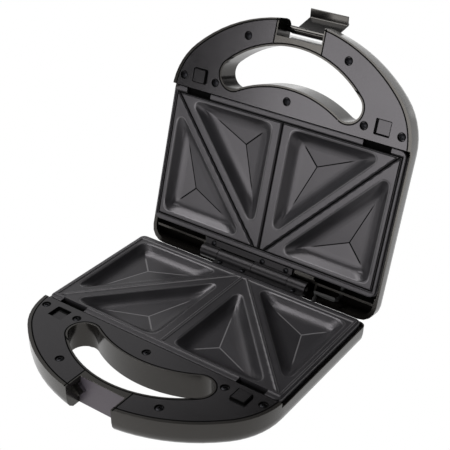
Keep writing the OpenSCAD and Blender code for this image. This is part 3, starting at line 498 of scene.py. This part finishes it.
def finish_node(name, material, tree, bevel):
    """Gives a CAD node its material, a joined surface, small edge radii and smooth shading."""
    obj = frame["nodes"][name]
    obj.data.materials.clear()
    obj.data.materials.append(material)
    weld = obj.modifiers.new("Weld", "WELD")
    weld.merge_threshold = 0.002 * MM
    if bevel:
        flat = obj.modifiers.new("Flat faces", "DECIMATE")
        flat.decimate_type = "DISSOLVE"
        flat.angle_limit = math.radians(0.6)
        edge = obj.modifiers.new("Edge radius", "BEVEL")
        edge.width = bevel
        edge.segments = 2
        edge.limit_method = "ANGLE"
        edge.angle_limit = math.radians(38)
        edge.miter_outer = "MITER_ARC"
    shade = obj.modifiers.new("Shading", "NODES")
    shade.node_group = tree
    shade[tree.interface.items_tree["Smooth below"].identifier] = math.radians(32)
    if bevel:
        even = obj.modifiers.new("Even shading", "WEIGHTED_NORMAL")
        even.weight, even.keep_sharp = 90, True


def stand_for(obj, node, body):
    """Rides a piece on a body in place of a CAD node."""
    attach(obj, body)
    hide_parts(node)


# ---------- Cooking plates ----------


def edge_distances(x, y, corners):
    """Distances inwards from the three edges of a triangle whose corners run anticlockwise."""
    return np.stack([((bx - ax) * (y - ay) - (by - ay) * (x - ax)) / math.hypot(bx - ax, by - ay)
                     for (ax, ay), (bx, by) in zip(corners, corners[1:] + corners[:1])])


def rounded_distance(x, y, corners, near, r):
    """Distance inwards from a triangle whose corners are rounded to a radius."""
    a, b, c = (np.array(q) for q in corners)
    sides = np.array([np.linalg.norm(b - c), np.linalg.norm(c - a), np.linalg.norm(a - b)])
    middle = (sides[0] * a + sides[1] * b + sides[2] * c) / sides.sum()
    inner_r = abs((b - a)[0] * (c - a)[1] - (b - a)[1] * (c - a)[0]) / sides.sum()
    small = [middle + (q - middle) * (1 - r / inner_r) for q in (a, b, c)]
    away = np.full_like(x, 9.0)
    for p, q in zip(small, small[1:] + small[:1]):
        run = q - p
        t = np.clip(((x - p[0]) * run[0] + (y - p[1]) * run[1]) / (run @ run), 0, 1)
        away = np.minimum(away, np.hypot(x - p[0] - t * run[0], y - p[1] - t * run[1]))
    return np.where(near >= r, near, r - away)


def pocket_corners(s):
    """Corners of the front and the rear pocket on the right-hand side."""
    w, d = s.width / 2, s.depth
    slope = d / w
    shift = s.diagonal * math.hypot(1, slope)
    far = s.front - d
    edge = w - s.side
    return ([(s.gap, -(slope * s.gap + shift)), (s.gap, far), ((-far - shift) / slope, far)],
            [(edge, -s.rear), ((s.rear + shift) / slope, -s.rear), (edge, -(slope * edge - shift))])


def seam_distances(x, y, s):
    """Signed distances to the diagonal, the centre line and the frame that part the plate's lands."""
    w, d = s.width / 2, s.depth
    band, side = 5.5 * MM, 3 * MM
    ax = np.abs(x)
    edge = np.minimum(w - side - ax, np.minimum(y + d - band, -band - y))
    return np.stack([(ax * d + y * w) / math.hypot(w, d), x, edge])


def wall_distances(x, y, s):
    """Distances from the three walls of the pocket that lies nearest."""
    front, rear = (edge_distances(np.abs(x), y, corners) for corners in pocket_corners(s))
    return np.where(front.min(axis=0) > rear.min(axis=0), front, rear)


def lip_distance(x, y, s):
    """Distance inwards from the rounded lip of the nearest pocket."""
    ax = np.abs(x)
    return np.maximum(*(rounded_distance(ax, y, corners, edge_distances(ax, y, corners).min(axis=0), s.round)
                        for corners in pocket_corners(s)))


def depth_profile(s):
    """Depth of a pocket against the distance inwards, with rounded lip and foot."""
    # Distances inwards in mm, each with its share of the full depth
    shares = [(-0.5, 0), (0.3, 0.04), (1.2, 0.17), (4.2, 0.54), (6.2, 0.71), (8.2, 0.81), (10.4, 0.868),
              (13, 0.905), (27, 1)]
    steps = np.linspace(-4, 34, 1521)
    raw = np.interp(steps, *zip(*shares)) * s.pocket
    kernel = np.hanning(61)
    soft = np.convolve(np.pad(raw, len(kernel) // 2, mode="edge"), kernel / kernel.sum(), mode="valid")
    return steps * MM, soft


def plate_height(x, y, s, ridged):
    """Height of a plate's cooking face, with ridges or with channels."""
    # Blend between two pocket walls, sharp near the lip and wide on the floor, and a seal line's slope
    wide, sharp, fade, slope = 12 * MM, 0.4 * MM, 6.2 * MM, 0.7 * MM
    table, depth = depth_profile(s)
    z = np.zeros_like(x)
    for corners in pocket_corners(s):
        near, mid, _ = np.sort(edge_distances(np.abs(x), y, corners), axis=0)
        round_by = np.clip(wide * (2 - near / fade), sharp, wide)
        blend = np.maximum(round_by - (mid - near), 0) / round_by
        soft = near - blend * blend * round_by / 4
        z -= np.interp(np.minimum(soft, rounded_distance(np.abs(x), y, corners, near, s.round)), table, depth)
    diagonal, middle, edge = seam_distances(x, y, s)
    inner = np.where(edge > 0, np.minimum(np.abs(diagonal), np.abs(middle)), 1)
    line = np.minimum(np.abs(edge), inner)
    rise = np.clip((s.seal / 2 + slope / 2 - line) / slope, 0, 1)
    rise = rise * rise * (3 - 2 * rise)
    return z + rise * (s.ridge if ridged else -s.channel)


def plate_mesh(s, ridged):
    """Closed mesh of a plate: its face on a grid, then rings down its lip, rib and skirt."""
    r = s.corner - s.lip
    w, d0, d1 = s.width / 2 - s.lip, -s.depth + s.lip, -s.lip
    steep = 0.12 * MM

    def lines(low, high, extra):
        even = np.linspace(low, high, int(round((high - low) / s.mesh)) + 1)
        keep = [v for v in even[1:-1] if min(abs(v - e) for e in extra) > 0.3 * s.mesh]
        return np.array(sorted([low, high] + keep + list(extra)))

    x_extra = [side * (NOTCH_X + k * NOTCH_HALF) + q * steep
               for side in (-1, 1) for k in (-1, 1) for q in (-1, 1)]
    xs, ys = lines(-w, w, x_extra), lines(d0, d1, [NOTCH_Y - steep, NOTCH_Y + steep])
    gx, gy = np.meshgrid(xs, ys)
    edge = np.minimum(gy - d0, d1 - gy)
    half = w - np.where(edge < r, r - np.sqrt(np.maximum(r * r - (r - edge) ** 2, 0)), 0)
    flat = w - 2 * r
    ax = np.abs(gx)
    gx = np.where(ax > flat, np.sign(gx) * (flat + (ax - flat) * (half - flat) / (2 * r)), gx)
    gz = plate_height(gx, gy, s, ridged)
    notch = (np.abs(np.abs(gx) - NOTCH_X) < NOTCH_HALF) & (gy < NOTCH_Y)
    gz = np.where(notch, -NOTCH_DEPTH, gz)
    rows, cols = gx.shape
    points = [np.stack([gx.ravel(), gy.ravel(), gz.ravel()], axis=1)]
    index = np.arange(rows * cols).reshape(rows, cols)
    faces = np.stack([index[:-1, :-1], index[:-1, 1:], index[1:, 1:], index[1:, :-1]], axis=-1).reshape(-1, 4)
    loop = np.concatenate([index[0, :-1], index[:-1, -1], index[-1, :0:-1], index[:0:-1, 0]])
    rim = points[0][loop]
    core = np.stack([np.clip(rim[:, 0], -w + r, w - r), np.clip(rim[:, 1], d0 + r, d1 - r)], axis=1)
    out = rim[:, :2] - core
    out /= np.linalg.norm(out, axis=1, keepdims=True)
    # Rings below the rim, as mm outwards and height in mm
    rings = [(0.45, -0.1), (0.72, -0.4), (0.8, -0.8), (0.8, -4.8), (1.4, -5.05), (1.4, -5.5), (0.8, -5.8),
             (0.8, -8), (-1.7, -8), (-3.1, -10.9)]
    quads = [faces]
    start = rows * cols
    last = loop
    for k, (grow, z) in enumerate(rings):
        ring = rim.copy()
        ring[:, :2] = rim[:, :2] + out * grow * MM
        ring[:, 2] = np.minimum(z * MM, rim[:, 2] - 0.03 * MM * (k + 1))
        points.append(ring)
        now = start + np.arange(len(loop))
        quads.append(np.stack([last, now, np.roll(now, -1), np.roll(last, -1)], axis=1))
        last, start = now, start + len(loop)
    all_faces = [tuple(int(i) for i in q) for block in quads for q in block]
    all_faces.append(tuple(int(i) for i in last[::-1]))
    return np.concatenate(points), all_faces


class TOASTER_OT_plates(bpy.types.Operator):
    """Cast the lower plate with its ridges and the upper plate with its channels"""

    bl_idname = "toaster.plates"
    bl_label = "Cooking plates"

    def execute(self, context):
        s = context.scene.toaster_plate
        for half, node in (("base", "lower_plate"), ("lid", "upper_plate")):
            coat = nonstick("Non-stick coat of the " + half, context.scene.toaster_finish.plate, half)
            points, faces = plate_mesh(s, half == "base")
            plate = new_piece("cooking_face_" + half, points, faces, coat, math.radians(35))
            for name, measure, kind, field in (("walls", wall_distances, "FLOAT_VECTOR", "vector"),
                                               ("seams", seam_distances, "FLOAT_VECTOR", "vector"),
                                               ("lips", lip_distance, "FLOAT", "value")):
                stored = plate.data.attributes.new(name, kind, "POINT")
                values = measure(points[:, 0], points[:, 1], s)
                stored.data.foreach_set(field, values.T.ravel().astype(np.float32))
            plate.data.transform(half_frame(half))
            stand_for(plate, node, half)
        return {"FINISHED"}


# ---------- Screws ----------


def screw_head(s, radius, material):
    """Domed head with a cross recess, its rim at z = 0, on a short skirt."""
    # Shares of the radius: grid lines, square that keeps its shape, and the cross's half width and reach
    steps = [0.12, 0.19, 0.3, 0.5, 0.56, 0.7, 0.86, 1]
    square, cross_half, cross_end = 0.56, 0.15, 0.53
    skirt = 0.9 * MM
    lines = np.array([-v for v in reversed(steps)] + [0] + steps)
    gx, gy = np.meshgrid(lines, lines)
    ax, ay = np.abs(gx), np.abs(gy)
    reach = np.maximum(ax, ay)
    span = np.maximum(np.hypot(gx, gy), 1e-6)
    t = np.clip((reach - square) / (1 - square), 0, 1)
    pull = (1 - t) + t * reach / span
    cross = ((ax < cross_half) & (ay < cross_end)) | ((ay < cross_half) & (ax < cross_end))
    x, y = gx * pull, gy * pull
    z = s.dome * (1 - x * x - y * y) - np.where(cross, s.recess, 0)
    n = len(lines)
    index = np.arange(n * n).reshape(n, n)
    faces = [tuple(f) for f in np.stack([index[:-1, :-1], index[:-1, 1:], index[1:, 1:], index[1:, :-1]],
                                        axis=-1).reshape(-1, 4).tolist()]
    loop = np.concatenate([index[0, :-1], index[:-1, -1], index[-1, :0:-1], index[:0:-1, 0]])
    points = np.stack([x.ravel() * radius, y.ravel() * radius, z.ravel()], axis=1)
    low = points[loop]
    low[:, 2] = -skirt
    base = len(points)
    count = len(loop)
    for i in range(count):
        j = (i + 1) % count
        faces.append((int(loop[i]), base + i, base + j, int(loop[j])))
    faces.append(tuple(base + i for i in range(count))[::-1])
    return new_piece("screw_head", np.concatenate([points, low]), faces, material, math.radians(30))


def scatter_tree(template, material):
    """Geometry Nodes that set a head on each point, each turned its own way."""
    tree = bpy.data.node_groups.new("Screw heads", "GeometryNodeTree")
    tree.interface.new_socket("Geometry", in_out="INPUT", socket_type="NodeSocketGeometry")
    tree.interface.new_socket("Head size", in_out="INPUT", socket_type="NodeSocketFloat")
    tree.interface.new_socket("Seed", in_out="INPUT", socket_type="NodeSocketInt")
    tree.interface.new_socket("Geometry", in_out="OUTPUT", socket_type="NodeSocketGeometry")
    new, link = tree.nodes.new, tree.links.new
    start, end = new("NodeGroupInput"), new("NodeGroupOutput")
    points, head = new("GeometryNodeMeshToPoints"), new("GeometryNodeObjectInfo")
    head.inputs["Object"].default_value = template
    place, spin = new("GeometryNodeInstanceOnPoints"), new("ShaderNodeCombineXYZ")
    turn = new("FunctionNodeRandomValue")
    turn.inputs[3].default_value = math.tau
    real, paint = new("GeometryNodeRealizeInstances"), new("GeometryNodeSetMaterial")
    paint.inputs["Material"].default_value = material
    link(start.outputs[0], points.inputs[0])
    link(points.outputs[0], place.inputs["Points"])
    link(head.outputs["Geometry"], place.inputs["Instance"])
    link(start.outputs[2], turn.inputs["Seed"])
    link(turn.outputs[1], spin.inputs["Z"])
    link(spin.outputs[0], place.inputs["Rotation"])
    link(start.outputs[1], place.inputs["Scale"])
    link(place.outputs[0], real.inputs[0])
    link(real.outputs[0], paint.inputs[0])
    link(paint.outputs[0], end.inputs[0])
    return tree


class TOASTER_OT_screws(bpy.types.Operator):
    """Drive the cross-head screws of the handle covers and the hinge leaves"""

    bl_idname = "toaster.screws"
    bl_label = "Screws"

    def execute(self, context):
        s = context.scene.toaster_screw
        black = plain_metal("Blackened screw", context.scene.toaster_finish.screw, 0.3)
        sets = (("cover", COVER_SCREWS, s.cover_r, COVER_SEAT, "screw_steel"),
                ("hinge", HINGE_SCREWS, s.hinge_r, HINGE_SEAT, "hinge_steel"))
        for kind, spots, radius, z, slot in sets:
            head = screw_head(s, radius, black)
            tree = scatter_tree(head, black)
            for seed, half in enumerate(("base", "lid")):
                holder = new_piece("spots", [(x * MM, -u * MM, z) for x, u in spots], [], black)
                scatter = holder.modifiers.new("Scatter", "NODES")
                scatter.node_group = tree
                items = tree.interface.items_tree
                scatter[items["Head size"].identifier] = 1.0
                scatter[items["Seed"].identifier] = seed + 3
                context.view_layer.update()
                ready = holder.evaluated_get(context.evaluated_depsgraph_get())
                mesh = bpy.data.meshes.new_from_object(ready)
                mesh.transform(half_frame(half))
                screws = bpy.data.objects.new(f"{kind}_screw_heads_{half}", mesh)
                context.scene.collection.objects.link(screws)
                bpy.data.objects.remove(holder)
                stand_for(screws, f"{half}_{kind}_screws", half)
            bpy.data.objects.remove(head)
        return {"FINISHED"}


# ---------- Latch clip ----------


def strip_outline(s):
    """Outline of the clip's section, as (across, along) points: arm, curled bend and sloping hook."""
    arm, end, r = s.offset + s.sheet, s.reach + s.sheet, s.sleeve_r
    lean = math.atan2(s.rise, s.lip + s.offset)
    half, bend = s.sheet / 2, 1 * MM

    def arc(at, radius, low, high, count):
        turns = [low + (high - low) * i / count for i in range(count + 1)]
        return [(at[0] + radius * math.cos(a), at[1] + radius * math.sin(a)) for a in turns]

    tip = (s.lip - half, s.reach + s.rise + half - half * math.sin(lean))
    points = [(-arm, 0.4 * r), (-0.95 * r, -0.5 * r), (-0.4 * r, -0.8 * r), (0, -0.7 * r), (0, 0.7 * r),
              (-s.offset, arm + 0.5 * MM)]
    points += arc((-s.offset + bend, s.reach - bend), bend, math.pi, math.pi / 2 + lean, 5)
    points += arc(tip, half, lean - math.pi / 2, lean + math.pi / 2, 6)
    return points + arc((s.curl - arm, end), s.curl, 2 * lean, math.pi, 10)


def prism(outline, x0, x1, edge):
    """Solid between two planes of X from an outline in the YZ plane, with small end chamfers."""
    n = len(outline)
    centre = (sum(p[0] for p in outline) / n, sum(p[1] for p in outline) / n)
    points = []
    for x, inset in ((x0, edge), (x0 + edge, 0), (x1 - edge, 0), (x1, edge)):
        for i, (y, z) in enumerate(outline):
            p, q = outline[i - 1], outline[(i + 1) % n]
            dy, dz = q[0] - p[0], q[1] - p[1]
            size = math.hypot(dy, dz)
            points.append((x, y - dz / size * inset, z + dy / size * inset))
    faces = [tuple(range(n))[::-1], tuple(range(3 * n, 4 * n))]
    for k in range(3):
        for i in range(n):
            j = (i + 1) % n
            faces.append((k * n + i, k * n + j, (k + 1) * n + j, (k + 1) * n + i))
    return points, faces


class TOASTER_OT_clip(bpy.types.Operator):
    """Bend the latch clip round its pin"""

    bl_idname = "toaster.clip"
    bl_label = "Latch clip"

    def execute(self, context):
        s = context.scene.toaster_clip
        plastic = gloss_shell("Clip plastic", scaled(context.scene.toaster_finish.cover, 0.6))
        points, faces = [], []

        def add(more_points, more_faces):
            start = len(points)
            points.extend(more_points)
            faces.extend(tuple(start + i for i in f) for f in more_faces)

        outline = strip_outline(s)
        area = sum(p[0] * q[1] - q[0] * p[1] for p, q in zip(outline, outline[1:] + outline[:1]))
        add(*prism(outline if area > 0 else outline[::-1], -s.width / 2, s.width / 2, 0.25 * MM))
        # The sleeve's section, as shares of its half length with radii, turned round the pin
        end_r = s.sleeve_r - 0.2 * MM
        section = [(-1, s.bore_r), (-1, end_r), (-0.99, s.sleeve_r), (0.99, s.sleeve_r), (1, end_r),
                   (1, s.bore_r)]
        count = 40
        turns = [math.tau * i / count for i in range(count)]
        tube = [(x * s.sleeve / 2, r * math.cos(turn), r * math.sin(turn))
                for x, r in section for turn in turns]
        quads = []
        for k in range(len(section)):
            a, b = k * count, (k + 1) % len(section) * count
            quads += [(a + i, a + (i + 1) % count, b + (i + 1) % count, b + i) for i in range(count)]
        add(tube, quads)
        clip = new_piece("latch_clip_bent", points, faces, plastic, math.radians(35))
        place = (half_frame("lid") @ Matrix.Translation(half_frame("lid").inverted() @ PIN_AT)
                 @ Matrix.Rotation(CLIP_SWING, 4, "X"))
        clip.data.transform(place)
        stand_for(clip, "latch_clip", "clip")
        return {"FINISHED"}


# ---------- Finishes of the CAD pieces ----------


class TOASTER_OT_finish(bpy.types.Operator):
    """Give every moulded, stamped and turned piece its finish"""

    bl_idname = "toaster.finish"
    bl_label = "Finishes"

    def execute(self, context):
        f = context.scene.toaster_finish
        tree = smooth_tree()
        cover = satin_cover("Hinge plastic", scaled(f.cover, 0.5), rough=0.35, shine=0.28)
        steel = plain_metal("Hinge steel", (0.42, 0.41, 0.4), 0.3)
        sheet = plain_metal("Aluminised sheet", (0.75, 0.75, 0.73), 0.3)
        tube = plain_metal("Heater tube", (0.32, 0.3, 0.28), 0.4)
        cream = soft_plastic("Cream ceramic", (0.7, 0.66, 0.56), 0.5)
        rubber = soft_plastic("Black rubber", (0.016, 0.016, 0.016), 0.6)
        finishes = {
            "base_shell": (gloss_shell("Base shell", f.shell, "base"), 0.45),
            "lid_shell": (gloss_shell("Lid shell", f.shell, "lid"), 0.45),
            "base_handle_cover": (satin_cover("Base cover", f.cover, "base"), 0.45),
            "lid_handle_cover": (satin_cover("Lid cover", f.cover, "lid"), 0.45),
            "base_hinge_leaf": (cover, 0.3), "lid_hinge_leaf": (cover, 0.3),
            "hinge_pin": (steel, 0.2), "latch_pin": (steel, 0),
            "lower_plate_screws": (steel, 0), "upper_plate_screws": (steel, 0),
            "lower_element": (tube, 0), "upper_element": (tube, 0),
            "lower_element_clamps": (sheet, 0), "upper_element_clamps": (sheet, 0),
            "lower_reflector": (sheet, 0), "upper_reflector": (sheet, 0),
            "thermostat": (steel, 0), "thermal_fuse": (cream, 0), "terminal_block": (cream, 0.3),
            "supply_bush": (rubber, 0.3), "base_link_lead": (rubber, 0), "lid_link_lead": (rubber, 0),
            "rubber_feet": (rubber, 0.6),
            "supply_leads": (soft_plastic("Brown sleeve", (0.22, 0.1, 0.05), 0.5), 0),
            "thermostat_lead": (soft_plastic("Glass sleeve", (0.6, 0.56, 0.45), 0.6), 0),
            "lamp_board": (soft_plastic("Circuit board", (0.03, 0.12, 0.05), 0.4), 0),
            "power_lamp": (soft_plastic("Lamp glass", (0.8, 0.5, 0.35), 0.1, 200, 0.6), 0),
            "ready_lamp": (soft_plastic("Lamp glass green", (0.5, 0.8, 0.5), 0.1, 200, 0.6), 0),
            "power_lens": (soft_plastic("Red lens", (0.5, 0.02, 0.015), 0.12, 300, 0.2), 0.3),
            "ready_lens": (soft_plastic("Green lens", (0.02, 0.32, 0.06), 0.12, 300, 0.2), 0.3),
        }
        for name, (material, bevel) in finishes.items():
            finish_node(name, material, tree, bevel * MM)
        return {"FINISHED"}


# ---------- Stage ----------


def soft_lamp(name, at, aim, size, energy):
    data = bpy.data.lights.new(name, "AREA")
    data.shape, data.size, data.size_y, data.energy = "RECTANGLE", size[0], size[1], energy
    lamp = bpy.data.objects.new(name, data)
    lamp.location = at
    lamp.rotation_euler = (Vector(aim) - Vector(at)).to_track_quat("-Z", "Y").to_euler()
    bpy.context.scene.collection.objects.link(lamp)


class TOASTER_OT_stage(bpy.types.Operator):
    """Set up the pale floor, the soft lamps and the camera"""

    bl_idname = "toaster.stage"
    bl_label = "Stage"

    def execute(self, context):
        scene = context.scene
        s = scene.toaster_stage
        level = math.cos(s.elevation)
        fwd = Vector((-math.sin(s.azimuth) * level, math.cos(s.azimuth) * level, -math.sin(s.elevation)))
        right = Vector((math.cos(s.azimuth), math.sin(s.azimuth), 0))
        up = right.cross(fwd)
        side = math.cos(s.roll) * right + math.sin(s.roll) * up
        head = -math.sin(s.roll) * right + math.cos(s.roll) * up
        at = half_frame("base") @ Vector(s.target) - fwd * s.distance
        data = bpy.data.cameras.new("Camera")
        data.sensor_width = 36
        data.angle = s.lens
        data.clip_end = 20
        camera = bpy.data.objects.new("Camera", data)
        camera.matrix_world = Matrix((side, head, -fwd)).transposed().to_4x4()
        camera.location = at
        scene.collection.objects.link(camera)
        scene.camera = camera

        floor = new_piece("floor", [(-6, -6, 0), (6, -6, 0), (6, 6, 0), (-6, 6, 0)], [(0, 1, 2, 3)],
                          self.floor_material())
        for name, settings in LAMPS.items():
            soft_lamp(name, *settings)
        world = bpy.data.worlds.new("Studio")
        scene.world = world
        world.use_nodes = True
        sky, background = Shading(world.node_tree), world.node_tree.nodes["Background"]
        sky.feed(background.inputs["Color"], (1, 1, 1, 1))
        sky.feed(background.inputs["Strength"],
                 sky.node("LightPath", {}, {}, "Is Camera Ray").map(0, 1, FILL_LIGHT, 1))
        scene.view_settings.view_transform = "Standard"
        return {"FINISHED"}

    def floor_material(self):
        m = Mat("Pale floor")
        m.set(Base_Color=(0.86, 0.86, 0.86, 1), Roughness=0.9)
        seen = m.node("LightPath", {}, {}, "Is Camera Ray").high(m.node("LightPath", {}, {}, "Is Glossy Ray"))
        m.cross_fade(seen, m.node("Emission", {}, {"Strength": 1.0}))
        return m.material


# ---------- Panel and registration ----------

STEPS = (TOASTER_OT_stage, TOASTER_OT_plates, TOASTER_OT_screws, TOASTER_OT_clip, TOASTER_OT_finish)
GROUPS = {"toaster_plate": ToasterPlateSizes, "toaster_screw": ToasterScrewSizes,
          "toaster_clip": ToasterClipSizes, "toaster_finish": ToasterFinishes, "toaster_stage": ToasterStage}


class TOASTER_PT_panel(bpy.types.Panel):
    """Lists the toaster's sizes and steps"""

    bl_idname = "TOASTER_PT_panel"
    bl_label = "Sandwich toaster"
    bl_space_type = "VIEW_3D"
    bl_region_type = "UI"
    bl_category = "Toaster"

    def draw(self, context):
        for step in STEPS:
            self.layout.operator(step.bl_idname)
        for name, group in GROUPS.items():
            box = self.layout.box()
            for prop in group.__annotations__:
                box.prop(getattr(context.scene, name), prop)


def register():
    for cls in (*GROUPS.values(), *STEPS, TOASTER_PT_panel):
        bpy.utils.register_class(cls)
    for name, group in GROUPS.items():
        setattr(bpy.types.Scene, name, PointerProperty(type=group))


def unregister():
    for name in GROUPS:
        delattr(bpy.types.Scene, name)
    for cls in (TOASTER_PT_panel, *reversed(STEPS), *reversed(list(GROUPS.values()))):
        bpy.utils.unregister_class(cls)


def main():
    register()
    for step in STEPS:
        family, action = step.bl_idname.split(".")
        getattr(getattr(bpy.ops, family), action)()


if __name__ == "__main__":
    main()
